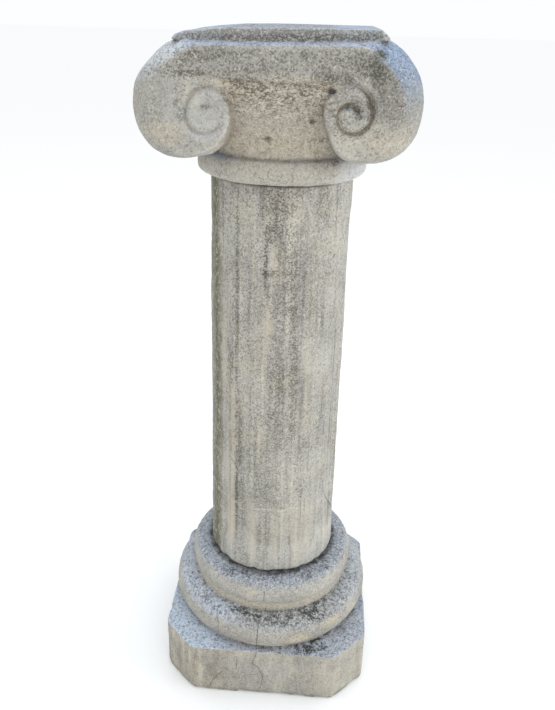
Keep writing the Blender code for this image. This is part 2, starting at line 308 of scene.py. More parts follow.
def weather(mesh, node, seed, rounds, scale, carve):
    """Round the arrises a little, then pit and roughen the surface, inside the node's box."""
    low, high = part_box(node)
    edges = read(mesh, "edges", "vertices", 2)
    points = relaxed(read(mesh, "vertices", "co", 3), edges, 2)
    write_points(mesh, points)
    normals = read(mesh, "vertices", "normal", 3)
    keep_hollows(mesh, points, edges, normals, rounds, scale)
    depth = carve(points)
    for height, width in SWELLS:
        depth -= height * lumps(points, width, seed)
        seed += 1
    for width, rare, full, deep in PITS:
        depth += smooth(rare, full, lumps(points, width, seed)) * deep
        seed += 1
    depth -= SAND_HEIGHT * lumps(points, SAND_WIDTH, seed)
    points = points - normals * depth[:, None]
    points = np.clip(points, np.array(low), np.array(high))
    write_points(mesh, points)
    mesh.shade_smooth()


# Base

def rounding(middle_radius, reach, foot, height, foot_radius, steps=40):
    """Outer side of a round moulding, from the top of its curve down to where it meets foot_radius."""
    end = -pi / 2
    if foot_radius > middle_radius:
        out = foot_radius - middle_radius
        end = -np.arctan2(max(reach ** 2 - out ** 2, 0.0) ** 0.5, out)
    half = height / (1 - sin(end))
    angles = np.linspace(pi / 2, end, steps)
    return [(middle_radius + reach * cos(a), foot + height - half + half * sin(a)) for a in angles]


def plinth_outline(angles, rounding_power=70.0):
    """Distance of the plinth's side from the axis: a square with cut corners, its arrises worn round."""
    corner = (PLINTH_HALF * 2 - PLINTH_CORNER_CUT) / 2 ** 0.5
    total = np.zeros(len(angles))
    for k in range(8):
        reach = PLINTH_HALF if k % 2 == 0 else corner
        facing = np.clip(np.cos(angles - k * pi / 4), 0.0, 1.0) / reach
        total += facing ** rounding_power
    return total ** (-1.0 / rounding_power)


def make_base():
    upper_middle = UPPER_TORUS_RADIUS - UPPER_TORUS_ROUNDING
    lower_middle = LOWER_TORUS_RADIUS - LOWER_TORUS_ROUNDING
    crease = lower_middle + LOWER_TORUS_ROUNDING * TORUS_CREASE_SHARE
    top = [(upper_middle * share, BASE_TOP) for share in (0.0, 0.3, 0.6, 0.8)]
    profile = rounding(
        upper_middle, UPPER_TORUS_ROUNDING, UPPER_TORUS_FOOT, BASE_TOP - UPPER_TORUS_FOOT, FILLET_RADIUS
    )
    profile.append((FILLET_RADIUS, PLINTH_HEIGHT + LOWER_TORUS_HEIGHT))
    profile += rounding(lower_middle, LOWER_TORUS_ROUNDING, PLINTH_HEIGHT, LOWER_TORUS_HEIGHT, crease)
    angles = turns(BASE_AROUND)
    rings = [ring(angles, radius, z) for radius, z in top + stepped(profile, FINE_STEP)]
    side = plinth_outline(angles)
    worn = PLINTH_WORN_ARRIS
    for share in np.linspace(0, 1, 13)[1:]:
        rings.append(ring(angles, crease + (side - worn - crease) * share, PLINTH_HEIGHT))
    for angle in (30, 60, 90):
        radius = side - worn * (1 - sin(radians(angle)))
        rings.append(ring(angles, radius, PLINTH_HEIGHT - worn * (1 - cos(radians(angle)))))
    for height in np.linspace(PLINTH_HEIGHT - worn, worn * 0.5, 38)[1:]:
        rings.append(ring(angles, side, height))
    for share in (0.985, 0.9, 0.7, 0.4, 0.0):
        rings.append(ring(angles, side * share, 0.0))
    mesh = closed_rings("base", np.array(rings))
    weather(mesh, "base", 11, 40, 0.0016, base_wear)
    return new_object("base_casting", mesh)


def base_wear(points):
    """Chips along the plinth's upper and lower arrises."""
    x, y, z = points.T
    radius = np.hypot(x, y)
    near_top = smooth(0.010, 0.0, np.abs(z - PLINTH_HEIGHT)) * smooth(0.118, 0.130, radius)
    chips = near_top * smooth(0.15, 0.7, lumps(points, 0.017, 31)) * PLINTH_TOP_CHIPS
    near_foot = smooth(0.008, 0.0, z) * smooth(0.12, 0.13, radius)
    chips += near_foot * smooth(-0.1, 0.8, lumps(points, 0.014, 32)) * PLINTH_FOOT_CHIPS
    chips[z < 0.0003] = 0.0
    return chips


# Shaft

def flute_sink(angle, height):
    """How deep the flutes lie: shallow hollows with round ends between narrow fillets."""
    period = 2 * pi / FLUTES
    across = (angle - FLUTE_TURN - pi / 2 + period / 2) % period - period / 2
    half_width = (period * SHAFT_FOOT_RADIUS - FLUTE_FILLET_WIDTH) / 2
    foot = SHAFT_FOOT + FLUTE_MARGIN + half_width
    top = SHAFT_TOP - FLUTE_MARGIN - half_width
    beyond = np.maximum(np.maximum(foot - height, height - top), 0.0)
    reach = np.hypot(across * SHAFT_FOOT_RADIUS, beyond) / half_width
    return FLUTE_DEPTH * np.maximum(0.0, 1.0 - reach ** 2)


def make_shaft():
    angles = turns(SHAFT_AROUND)
    worn = SHAFT_WORN_RIM
    heights = [SHAFT_TOP] + list(np.linspace(SHAFT_TOP - worn, SHAFT_FOOT + worn, 250)) + [SHAFT_FOOT]
    rings = [ring(angles, SHAFT_TOP_RADIUS * share, SHAFT_TOP) for share in (0.0, 0.4, 0.75, 0.93)]
    for height in heights:
        share = (height - SHAFT_FOOT) / (SHAFT_TOP - SHAFT_FOOT)
        radius = SHAFT_FOOT_RADIUS + (SHAFT_TOP_RADIUS - SHAFT_FOOT_RADIUS) * share
        radius = radius - flute_sink(angles, height)
        if height == SHAFT_TOP:
            radius = radius - worn * 0.4
        if height == SHAFT_FOOT:
            radius = radius - worn
        rings.append(ring(angles, radius, height))
    rings += [ring(angles, SHAFT_FOOT_RADIUS * share, SHAFT_FOOT) for share in (0.93, 0.75, 0.4, 0.0)]
    mesh = closed_rings("shaft", np.array(rings))
    weather(mesh, "shaft", 41, 30, 0.0007, shaft_wear)
    return new_object("shaft_casting", mesh)


def shaft_wear(points):
    """The broken edge of the shaft's foot."""
    z = points[:, 2]
    foot = smooth(SHAFT_FOOT + 0.011, SHAFT_FOOT, z)
    bites = foot * smooth(-0.1, 0.9, lumps(points, 0.009, 61)) * SHAFT_FOOT_BITES
    bites += smooth(SHAFT_FOOT + 0.003, SHAFT_FOOT, z) * 0.0008
    return bites


# Capital

def edge_radius(radii, turn):
    """Radius of a volute's edge at a turn from the top, by a smooth curve through its eighths."""
    knots = tuple((45.0 * k, radius) for k, radius in enumerate(radii))
    return through(knots, 1, turn)


def volute(which):
    """Where a volute's eye lies, and the radii of its edge at each eighth of a turn."""
    side, rise, reach, drop = which
    eye_height = RING_TOP + rise
    top = BODY_TOP - ARRIS_DROP - eye_height
    underside = reach * UNDERSIDE_SHARES[0] + drop * UNDERSIDE_SHARES[1]
    radii = [top, (top + reach) / 2, reach, underside, drop]
    radii += [COIL_RADIUS * share for share in COIL_SHARES]
    return side * EYE_SPACING / 2, eye_height, radii


def roll_edge(which, bulge, steps=110):
    """Section of a roll from its top round the outside to the band's foot."""
    side = which[0]
    eye_x, eye_height, radii = volute(which)
    turn = np.linspace(0, ROLL_END_TURN, steps)
    radius = edge_radius(radii, turn)
    sine, cosine = np.sin(np.radians(turn)), np.cos(np.radians(turn))
    out = radius * sine + bulge * ROLL_BULGE_OUT * np.maximum(sine, 0.0) ** ROLL_FULLNESS
    lift = ROLL_BULGE_DOWN * np.sign(cosine) * np.abs(cosine) ** ROLL_FULLNESS
    lift = np.where(sine < 0, ROLL_BULGE_DOWN * np.minimum(cosine, 0.0), lift)
    height = eye_height + radius * cosine + bulge * lift
    top = BODY_TOP - ARRIS_DROP * (1 - bulge)
    return np.column_stack([eye_x + side * out, np.minimum(height, top)])


def body_section(bulge):
    """The body's outline across: on its two faces where bulge is 0, at its fullest where it is 1."""
    left, right = roll_edge(LEFT_VOLUTE, bulge), roll_edge(RIGHT_VOLUTE, bulge)
    half = min(abs(left[-1][0]), right[-1][0])
    shares = np.linspace(1.0, -1.0, 24)
    foot = np.column_stack([half * shares, BAND_FOOT + BAND_SAG * shares ** 2])
    top = BODY_TOP - ARRIS_DROP * (1 - bulge)
    middle = np.column_stack([np.linspace(-0.5, 0.5, 12) * EYE_SPACING / 2, np.full(12, top)])
    return np.concatenate([middle, right, foot, left[::-1]])


def slab_shell(foot, top, short):
    """A box under or in the slab, short of its ends and a little narrower at its top."""
    corners = []
    for z, inset in ((foot, 0.0), (top, ABACUS_BATTER)):
        for sx, sy in ((-1, -1), (1, -1), (1, 1), (-1, 1)):
            corners.append((sx * (ABACUS_WIDTH / 2 - inset - short), sy * (ABACUS_DEPTH / 2 - inset), z))
    faces = [(3, 2, 1, 0), (4, 5, 6, 7)]
    faces += [(k, (k + 1) % 4, (k + 1) % 4 + 4, k + 4) for k in range(4)]
    return np.array(corners), faces


def field_shell(rows=40, columns=48):
    """The field between the volutes, on both faces: flat under the band, round on the ring."""
    lip = CAPITAL_DEPTH / 2 - FIELD_RECESS
    across = np.linspace(-0.5, 0.5, columns) * FIELD_WIDTH
    round_depth = np.sqrt((CREASE_RADIUS + FIELD_SWELL) ** 2 - across ** 2)
    heights = [RING_TOP - RING_SHOULDER / 2]
    heights += list(np.linspace(RING_TOP, BAND_FOOT, rows)) + [BAND_FOOT + BAND_HEIGHT / 4]
    rings = []
    for height in heights:
        depth = round_depth + (lip - round_depth) * smooth(RING_TOP, BAND_FOOT, height)
        front = np.column_stack([across, -depth, np.full(columns, height)])
        rings.append(np.concatenate([front, front * (-1, -1, 1)]))
    return capped_tube(rings)


def capital_shells():
    """The body, the core, the field and the slab, as closed shells that overlap."""
    sections = []
    for share in np.sin(np.linspace(-pi / 2, pi / 2, ROLL_SECTIONS)):
        section = body_section(1 - abs(share) ** ROLL_SQUARENESS)
        depth = np.full(len(section), share * CAPITAL_DEPTH / 2)
        sections.append(np.column_stack([section[:, 0], depth, section[:, 1]]))
    shells = [capped_tube(sections)]
    band_radius = CAPITAL_DEPTH / 2 - CORE_RECESS
    profile = [(0.0, BAND_FOOT + BAND_HEIGHT / 3), (band_radius, BAND_FOOT + BAND_HEIGHT / 3)]
    for angle in np.linspace(0, pi / 2, 30):
        radius = band_radius - (band_radius - CREASE_RADIUS) * sin(angle)
        profile.append((radius, BAND_FOOT - (BAND_FOOT - RING_TOP) * (1 - cos(angle))))
    for angle in np.linspace(pi / 2, 0, 16)[1:]:
        radius = CREASE_RADIUS + (RING_RADIUS - CREASE_RADIUS) * cos(angle)
        profile.append((radius, RING_TOP - RING_SHOULDER * (1 - sin(angle))))
    for angle in np.linspace(0, pi / 2, 10):
        radius = SHAFT_TOP_RADIUS + (RING_RADIUS - SHAFT_TOP_RADIUS) * cos(angle)
        profile.append((radius, CAPITAL_FOOT + RING_UNDERCUT * (1 - sin(angle))))
    profile.append((0.0, CAPITAL_FOOT))
    angles = turns(CORE_AROUND)
    core = closed_rings("core", np.array([ring(angles, radius, z) for radius, z in profile]))
    shells.append((read(core, "vertices", "co", 3), [tuple(face.vertices) for face in core.polygons]))
    shells.append(field_shell())
    shells.append(slab_shell(BODY_TOP - SLAB_SEAT, COLUMN_TOP, 0.0))
    shells.append(slab_shell(BODY_TOP - BAND_HEIGHT / 8, BODY_TOP + 2 * SLAB_SEAT, SLAB_OVERHANG))
    points, polygons, start = [], [], 0
    for part, faces in shells:
        points += part.tolist()
        polygons += [tuple(start + index for index in face) for face in faces]
        start += len(part)
    mesh = bpy.data.meshes.new("capital shells")
    mesh.from_pydata(points, [], polygons)
    return mesh


def with_modifier(mesh, kind, **settings):
    """The mesh after one modifier."""
    holder = new_object("holder", mesh)
    modifier = holder.modifiers.new("change", kind)
    for name, value in settings.items():
        setattr(modifier, name, value)
    evaluated = holder.evaluated_get(bpy.context.evaluated_depsgraph_get())
    made = bpy.data.meshes.new_from_object(evaluated)
    bpy.data.objects.remove(holder)
    return made


def groove_depth(points, which, knots):
    """Depth of one volute's spiral groove: a steep outer wall, then a slow rise to the coil."""
    eye_x, eye_height, _ = volute(which)
    across = (points[:, 0] - eye_x) * which[0]
    up = points[:, 2] - eye_height
    distance = np.hypot(across, up)
    turn = np.degrees(np.arctan2(across, up)) % 360
    depth = np.zeros(len(points))
    for whole in (-360, 0, 360):
        at = turn + whole
        there = (at > knots[0][0]) & (at < knots[-1][0])
        offset = distance - through(knots, 1, at)
        full = np.maximum(through(knots, 2, at), 0.0)
        wall = 1 - smooth(GROOVE_FLOOR, GROOVE_FLOOR + GROOVE_OUTER_WALL, offset)
        slope = 1 - smooth(GROOVE_FLOOR, GROOVE_FLOOR + GROOVE_INNER_SLOPE, -offset)
        depth = np.where(there, np.maximum(depth, full * np.where(offset > 0, wall, slope)), depth)
    return depth


def make_capital():
    mesh = with_modifier(
        capital_shells(), "REMESH", mode="VOXEL", voxel_size=CAPITAL_VOXEL, use_smooth_shade=True
    )
    edges = read(mesh, "edges", "vertices", 2)
    points = relaxed(read(mesh, "vertices", "co", 3), edges, 3)
    x, y, z = points.T
    # The slab and the top of the body lie a little out of level, lower on the left
    reach = np.abs(x)
    tilt = CAPITAL_TILT * np.clip((0.10 - x) / 0.20, 0.0, 1.2)
    tilt = tilt - MIDDLE_LIFT * (1 - smooth(0.08, 0.11, reach))
    tilt = tilt * smooth(0.775, 0.812, z)
    tilt = tilt + LEFT_END_DROP * smooth(-0.045, -0.102, x) * smooth(BODY_TOP, COLUMN_TOP, z)
    # The slab's ends and the rolls just beyond them stand a little higher than the middle
    lift = smooth(0.074, 0.094, reach) * (1 - smooth(0.112, 0.132, reach)) * smooth(0.790, 0.815, z)
    tilt = tilt - ENDS_LIFT * lift * (1 - smooth(BODY_TOP, COLUMN_TOP, z) * (x < 0))
    worn_end = smooth(0.074, 0.100, x) * smooth(BODY_TOP + 0.001, COLUMN_TOP, z)
    points[:, 0] = x - RIGHT_CORNER_WEAR * worn_end
    points[:, 2] = z - tilt
    write_points(mesh, points)
    normals = read(mesh, "vertices", "normal", 3)
    face = CAPITAL_DEPTH / 2
    on_face = smooth(face - 0.006, face - 0.002, np.abs(y)) * smooth(0.6, 0.9, np.abs(normals[:, 1]))
    for which, knots in ((LEFT_VOLUTE, LEFT_GROOVE), (RIGHT_VOLUTE, RIGHT_GROOVE)):
        depth = groove_depth(points, which, knots) * on_face
        points[:, 1] -= np.sign(y) * depth
    points = relaxed(points, edges, 2, mask=smooth(0.0, 0.5, on_face))
    # The arrises of the faces and the band's lip are worn rounder than the rest
    soft = smooth(face - 0.016, face - 0.006, np.abs(points[:, 1])) * (1 - on_face)
    points = relaxed(points, edges, 10, mask=soft)
    write_points(mesh, points)
    mesh = with_modifier(
        mesh, "DECIMATE", ratio=min(CAPITAL_TRIANGLES / (len(mesh.polygons) * 2), 1.0)
    )
    weather(mesh, "capital", 71, 30, 0.0012, capital_wear)
    mesh.name = "capital"
    return new_object("capital_casting", mesh)


# Holes in the front of the capital: place across, height, radius, depth
FACE_HOLES = (
    (-0.0093, 0.7317, 0.0042, 0.0024), (0.0511, 0.7807, 0.004, 0.0034),
    (0.0338, 0.7511, 0.0036, 0.0022), (0.0933, 0.812, 0.0034, 0.0016),
    (0.0255, 0.8119, 0.0032, 0.0015),
)
# Where the slab's left end is broken: place across, height, reach, depth
SLAB_NOSE = (-ABACUS_WIDTH / 2, COLUMN_TOP - 0.001, 0.014, 0.0028)


def capital_wear(points):
    """Small holes in the front and a broken left end of the slab."""
    x, y, z = points.T
    depth = np.zeros(len(points))
    for hole_x, hole_z, size, deep in FACE_HOLES:
        near = np.hypot(x - hole_x, z - hole_z) / size + 0.45 * lumps(points, 0.0032, 81)
        depth += deep * (1 - smooth(0.3, 1.0, near)) * (y < -0.05)
    nose_x, nose_z, size, deep = SLAB_NOSE
    nose = smooth(size, 0.0, np.hypot(x - nose_x, z - nose_z))
    depth += nose * deep * (y < 0.02)
    return depth


# Shader tools

class Wire:
    """One output in a material. Arithmetic on it adds Math nodes."""

    def __init__(self, tree, socket):
        self.tree = tree
        self.socket = socket

    def node(self, kind, settings=None, inputs=None, output=0):
        """A new node: its settings first, then the values or links of its sockets."""
        made = self.tree.nodes.new(kind)
        for name, value in (settings or {}).items():
            setattr(made, name, value)
        for name, value in (inputs or {}).items():
            if isinstance(value, Wire):
                self.tree.links.new(value.socket, made.inputs[name])
            else:
                made.inputs[name].default_value = value
        return Wire(self.tree, made.outputs[output])

    def maths(self, operation, first, second=0.0):
        return self.node("ShaderNodeMath", {"operation": operation}, {0: first, 1: second})

    def __add__(self, other):
        return self.maths("ADD", self, other)

    __radd__ = __add__

    def __mul__(self, other):
        return self.maths("MULTIPLY", self, other)

    __rmul__ = __mul__

    def __sub__(self, other):
        return self.maths("SUBTRACT", self, other)

    def __rsub__(self, other):
        return self.maths("SUBTRACT", other, self)

    def __truediv__(self, other):
        return self.maths("DIVIDE", self, other)

    def __abs__(self):
        return self.maths("ABSOLUTE", self)

    def between(self, low, high):
        """0 at low and 1 at high, with an even curve; low may be above high."""
        return self.node(
            "ShaderNodeMapRange", {"interpolation_type": "SMOOTHSTEP"},
            {"Value": self, "From Min": low, "From Max": high},
        )

    def near(self, centre, width):
        """1 at centre, falling to 0 a width away."""
        return abs(self - centre).between(width, 0.0)

    def most(self, other):
        return self.maths("MAXIMUM", self, other)

    def blended(self, blend, colour, share):
        """This colour blended with another by share."""
        settings = {"data_type": "RGBA", "blend_type": blend}
        return self.node("ShaderNodeMix", settings, {0: share, 6: self, 7: colour}, output=2)


def srgb(red, green, blue):
    """A colour given as it would be read off a screen, from 0 to 255."""
    def linear(value):
        value = value / 255
        return value / 12.92 if value <= 0.04045 else ((value + 0.055) / 1.055) ** 2.4
    return (linear(red), linear(green), linear(blue), 1.0)


class Stone:
    """A stone finish in the making: its colour so far, and the places and noises it comes from."""

    def __init__(self, name):
        self.material = bpy.data.materials.new(name)
        self.material.use_nodes = True
        self.tree = self.material.node_tree
        self.shader = self.tree.nodes["Principled BSDF"]
        self.start = Wire(self.tree, None)
        self.place = self.start.node("ShaderNodeTexCoord", output="Object")
        self.x, self.y, self.z = self.parts(self.place)
        facing = self.parts(self.start.node("ShaderNodeNewGeometry", output="Normal"))
        self.front = 0.0 - facing[1]
        self.up = facing[2]
        self.hollow = self.start.node("ShaderNodeAttribute", {"attribute_name": "hollow"}, output="Fac")
        self.radius = self.away(self.x, self.y, 0.0, 0.0)
        self.angle = self.start.maths("ARCTAN2", self.y, self.x) * (180 / pi)
        self.ragged = self.noise(0.0070, 5.0, 0.72, offset=14.0) - 0.5
        # The bare casting is sandy, with grey and cream clouds
        clouds = self.noise(0.05, 4.0, 0.6).between(0.35, 0.68)
        self.colour = self.start.node(
            "ShaderNodeMix", {"data_type": "RGBA"}, {0: clouds, 6: LIGHT_STONE, 7: GREY_STONE}, output=2
        )
        self.tint(CREAM_STONE, self.noise(0.028, 3.0, 0.5, offset=4.0).between(0.50, 0.70) * 0.35)

    def parts(self, vector):
        """The three numbers of a vector."""
        split = self.start.node("ShaderNodeSeparateXYZ", {}, {0: vector}).socket.node
        return [Wire(self.tree, number) for number in split.outputs]

    def tint(self, colour, share):
        """Mix a colour into the finish by share."""
        self.colour = self.colour.blended("MIX", colour, share)

    def shade(self, share):
        """Darken the finish by share."""
        self.colour = self.colour.blended("MULTIPLY", SHADE, share)

    def noise(self, size, detail=3.0, rough=0.55, along=1.0, offset=0.0, bend=0.0):
        """Noise from 0 to 1, features about size metres across; along below 1 draws them out upwards."""
        place = self.place
        if along != 1.0:
            place = self.start.node(
                "ShaderNodeVectorMath", {"operation": "MULTIPLY"}, {0: place, 1: (1.0, 1.0, along)}
            )
        inputs = {
            "Vector": place, "W": offset, "Scale": 1 / size, "Detail": detail,
            "Roughness": rough, "Distortion": bend,
        }
        return self.start.node("ShaderNodeTexNoise", {"noise_dimensions": "4D"}, inputs)

    def away(self, across, along, middle_across, middle_along):
        """Distance from a point, in two directions."""
        over = across - middle_across
        rise = along - middle_along
        return self.start.maths("POWER", over * over + rise * rise, 0.5)

    def blot(self, across, along, patch):
        """A soft patch with a ragged edge: its middle, its half sizes and its strength."""
        middle_across, middle_along, half_across, half_along, strength = patch
        over = (across - middle_across) / half_across
        rise = (along - middle_along) / half_along
        reach = over * over + rise * rise + self.ragged * 2.4
        return reach.between(1.9, -0.3) * strength

    def crack(self, across, along, knots, wide, width):
        """A fine wavering line through the knots; wide turns the measure across into metres."""
        line = None
        for start, end in zip(knots, knots[1:]):
            run = ((end[0] - start[0]) * wide, end[1] - start[1])
            length = run[0] ** 2 + run[1] ** 2
            over = (across - start[0]) * wide + self.ragged * CRACK_WAVER
            rise = along - start[1]
            share = (over * run[0] + rise * run[1]) / length
            share = self.start.node("ShaderNodeClamp", {}, {"Value": share})
            gap = self.away(over, rise, share * run[0], share * run[1])
            part = gap.between(width, width * 0.3)
            line = part if line is None else line.most(part)
        return line

    def grain(self, amount, dark):
        """Fine dark grains, closer and darker where amount is near 1, and a few light ones."""
        shift = self.start.node(
            "ShaderNodeTexNoise", {}, {"Vector": self.place, "Scale": 1 / GRAIN_DRIFT, "Detail": 1.0},
            output="Color",
        )
        place = self.start.node(
            "ShaderNodeVectorMath", {"operation": "MULTIPLY_ADD"},
            {0: shift, 1: (GRAIN_SHIFT, GRAIN_SHIFT, GRAIN_SHIFT), 2: self.place},
        )
        cells = self.start.node(
            "ShaderNodeTexVoronoi", {}, {"Vector": place, "Scale": 1 / GRAIN_WIDTH}, output="Color"
        )
        coarse = self.noise(0.0050, 3.0, 0.6, offset=12.0)
        grains = cells * 0.75 + coarse * 0.55 + amount * 0.24
        self.tint(LIGHT_GRAIN, grains.between(0.64, 0.40) * (0.28 + amount * 0.35))
        self.tint(dark, grains.between(0.70, 1.02) * (0.44 + amount * 0.45))

    def finish(self, cracks=None):
        """Wire the finished colour in, with the sand's roughness and its bumps."""
        sand = self.noise(0.0021, 4.0, 0.7, offset=20.0)
        height = sand if cracks is None else sand - cracks * 0.8
        bump = self.start.node(
            "ShaderNodeBump", {}, {"Strength": 0.75, "Distance": 0.0009, "Height": height}
        )
        rough = 0.86 + sand * 0.1
        for name, wire in (("Base Color", self.colour), ("Roughness", rough), ("Normal", bump)):
            self.tree.links.new(wire.socket, self.shader.inputs[name])
        self.shader.inputs["Specular IOR Level"].default_value = 0.25
        return self.material


# Stone colours, and colours of painted light, as they would be read off a screen

LIGHT_STONE = srgb(177, 174, 165)
GREY_STONE = srgb(152, 149, 142)
CREAM_STONE = srgb(188, 178, 156)
# Warmth of painted bounce light, for the capital's field
PAINTED_BOUNCE_WARMTH = srgb(172, 161, 144)
PALE_STONE = srgb(205, 208, 210)
DARK_GRAIN = srgb(86, 84, 74)
BROWN_GRAIN = srgb(92, 79, 62)
LICHEN = srgb(66, 68, 64)
# Blue of what looks up: partly bloom on the stone, partly painted skylight
BLOOM_AND_SKYLIGHT = srgb(146, 160, 186)
LICHEN_GREY = srgb(138, 138, 136)
# Blue of painted skylight, plain and pale
PAINTED_SKYLIGHT = srgb(130, 151, 180)
PAINTED_SKYLIGHT_PALE = srgb(190, 204, 222)
SLAB_STONE = srgb(136, 141, 148)
OLIVE = srgb(92, 91, 68)
RING_STONE = srgb(198, 190, 172)
LIGHT_CREAM = srgb(206, 199, 181)
CRACK = srgb(88, 70, 50)
LIGHT_GRAIN = srgb(212, 210, 203)
SHADE = srgb(150, 146, 138)

# Where the base's lichen lies: middle of its turn in degrees, half of it, inner and outer radius, strength
BASE_LICHEN = (
    (-116, 24, 0.09, 0.104, 0.75), (-52, 32, 0.088, 0.104, 0.7), (-90, 30, 0.088, 0.098, 0.45),
    (-107, 20, 0.11, 0.119, 1.1), (-84, 18, 0.11, 0.118, 0.42), (-56, 30, 0.11, 0.129, 1.05),
    (-88, 26, 0.118, 0.13, 0.6), (-140, 30, 0.108, 0.13, 0.4), (-20, 25, 0.108, 0.13, 0.5),
    (-62, 20, 0.13, 0.146, 1.2), (-38, 14, 0.138, 0.16, 0.35), (-135, 40, 0.132, 0.19, 0.15),
    (90, 80, 0.108, 0.13, 0.6), (60, 50, 0.088, 0.104, 0.6), (120, 50, 0.132, 0.17, 0.5),
)
# Light patches of the base: turn, height, half of each, strength
BASE_PALE = (
    (-70, 0.0975, 7, 0.0075, 0.85), (-48, 0.107, 8, 0.0065, 0.75),
    (-30, 0.09, 6, 0.008, 0.6), (-90, 0.1325, 60, 0.0042, 0.7),
    (-100, 0.072, 30, 0.006, 0.25), (-62, 0.04, 12, 0.025, 0.3),
)
# Cracks of the base, as turns and heights
BASE_CRACKS = (
    ((-93.3, 0.12), (-93.3, 0.104), (-93.9, 0.079), (-93.7, 0.0742), (-95.5, 0.0586)),
    ((-95.2, 0.0561), (-92.1, 0.0494), (-89.8, 0.0346), (-90.4, 0.0188), (-91.1, 0.0108)),
    ((-103.9, 0.0627), (-104.6, 0.0422)),
    ((-112.2, 0.0361), (-115.8, 0.022), (-117.7, 0.0083)),
    ((-126.8, 0.164), (-127.2, 0.13)),
    ((-121.3, 0.1231), (-116.6, 0.1071), (-117.5, 0.079)),
    ((-90.7, 0.16), (-91, 0.1402)),
    ((-89.1, 0.133), (-89.8, 0.1245)),
)
# Dark and light places of the shaft: turn in degrees, height, half of each, strength
SHAFT_DARK = (
    (-122, 0.52, 1.7, 0.16, 0.5), (-119.5, 0.35, 4.2, 0.08, 0.5), (-121.5, 0.25, 1.6, 0.085, 0.55),
    (-97.5, 0.602, 1.7, 0.034, 0.75), (-94, 0.588, 8.5, 0.005, 0.55), (-72, 0.46, 3.8, 0.1, 0.42),
    (-76, 0.57, 4.5, 0.06, 0.3), (-33, 0.56, 1.6, 0.05, 0.4), (-27.5, 0.48, 1.6, 0.045, 0.5),
    (-29, 0.34, 1.6, 0.06, 0.35), (-15, 0.3, 3, 0.11, 0.35), (-92, 0.635, 6, 0.014, 0.5),
    (-130, 0.47, 5, 0.04, 0.3), (-86, 0.43, 6.5, 0.06, 0.32),
    (-98.7, 0.225, 2.6, 0.036, 0.4), (-71, 0.232, 2.2, 0.032, 0.34), (-48, 0.206, 2.4, 0.006, 0.6),
    (-112, 0.188, 7, 0.016, 0.35), (-36, 0.19, 8, 0.012, 0.35), (-75.3, 0.358, 1, 0.0016, 1),
    (-130.3, 0.27, 1.2, 0.002, 1), (-116, 0.245, 5, 0.055, 0.35), (-141, 0.195, 8, 0.024, 0.5),
)
SHAFT_CREAM = (
    (-88, 0.598, 5.5, 0.022, 0.65), (-95.5, 0.522, 4.4, 0.026, 0.75), (-73, 0.655, 5, 0.016, 0.55),
    (-100.3, 0.37, 1.8, 0.038, 0.7), (-104.5, 0.235, 5, 0.05, 0.45), (-129, 0.33, 6, 0.11, 0.45),
    (-128, 0.235, 5.5, 0.042, 0.7), (-140, 0.5, 4, 0.09, 0.5), (-97, 0.478, 2.6, 0.02, 0.5),
    (-60, 0.235, 14, 0.045, 0.35), (-46.5, 0.199, 2.2, 0.006, 0.95), (-60, 0.5, 3, 0.11, 0.35),
    (-84, 0.225, 6, 0.04, 0.45), (-112, 0.65, 8, 0.022, 0.25),
)
SHAFT_BROWN = (-86, 0.668, 15, 0.018, 1.0)
SHAFT_CRACK = ((-34, 0.281), (-31.5, 0.273), (-22.8, 0.2534), (-13.3, 0.2336))
# Dark and light places of the capital's front: place across, height, half of each, strength
CAPITAL_DARK = (
    (-0.0093, 0.7317, 0.0042, 0.003, 0.9), (0.0338, 0.7511, 0.0036, 0.0034, 0.85),
    (0.0511, 0.7807, 0.0036, 0.0036, 1.1), (0.041, 0.7312, 0.012, 0.0028, 0.55),
    (-0.065, 0.811, 0.018, 0.007, 0.4), (0.0255, 0.8119, 0.005, 0.004, 0.6),
    (0.082, 0.806, 0.02, 0.011, 0.45), (0.09, 0.78, 0.008, 0.02, 0.4),
    (0.0933, 0.8136, 0.006, 0.003, 0.9), (-0.092, 0.768, 0.006, 0.02, 0.45),
    (0.056, 0.792, 0.016, 0.005, 0.5), (0.0768, 0.7603, 0.0036, 0.0044, 0.8),
    (0.076, 0.77, 0.011, 0.007, 0.45), (-0.0676, 0.7634, 0.0045, 0.002, 0.5),
    (-0.081, 0.793, 0.013, 0.0028, 0.45), (0.0601, 0.7074, 0.005, 0.005, 0.6),
    (-0.03, 0.785, 0.016, 0.004, 0.4), (0.097, 0.744, 0.006, 0.005, 0.4),
)
CAPITAL_CREAM = (
    (-0.108, 0.738, 0.022, 0.011, 0.55), (0.105, 0.735, 0.023, 0.012, 0.55),
    (0.072, 0.74, 0.018, 0.009, 0.35), (-0.05, 0.785, 0.008, 0.005, 0.6),
    (0, 0.727, 0.06, 0.012, 0.25), (0.042, 0.7196, 0.018, 0.0018, 0.5),
    (0.015, 0.79, 0.03, 0.005, 0.4), (-0.054, 0.723, 0.01, 0.008, 0.4),
)
# The line under the band, which runs out into the volutes at both ends
LIP_LINE = (
    (-0.081, 0.7915), (-0.062, 0.7918), (-0.042, 0.788), (-0.015, 0.7862), (0.015, 0.786),
    (0.0377, 0.789), (0.0547, 0.7925), (0.0718, 0.7938),
)


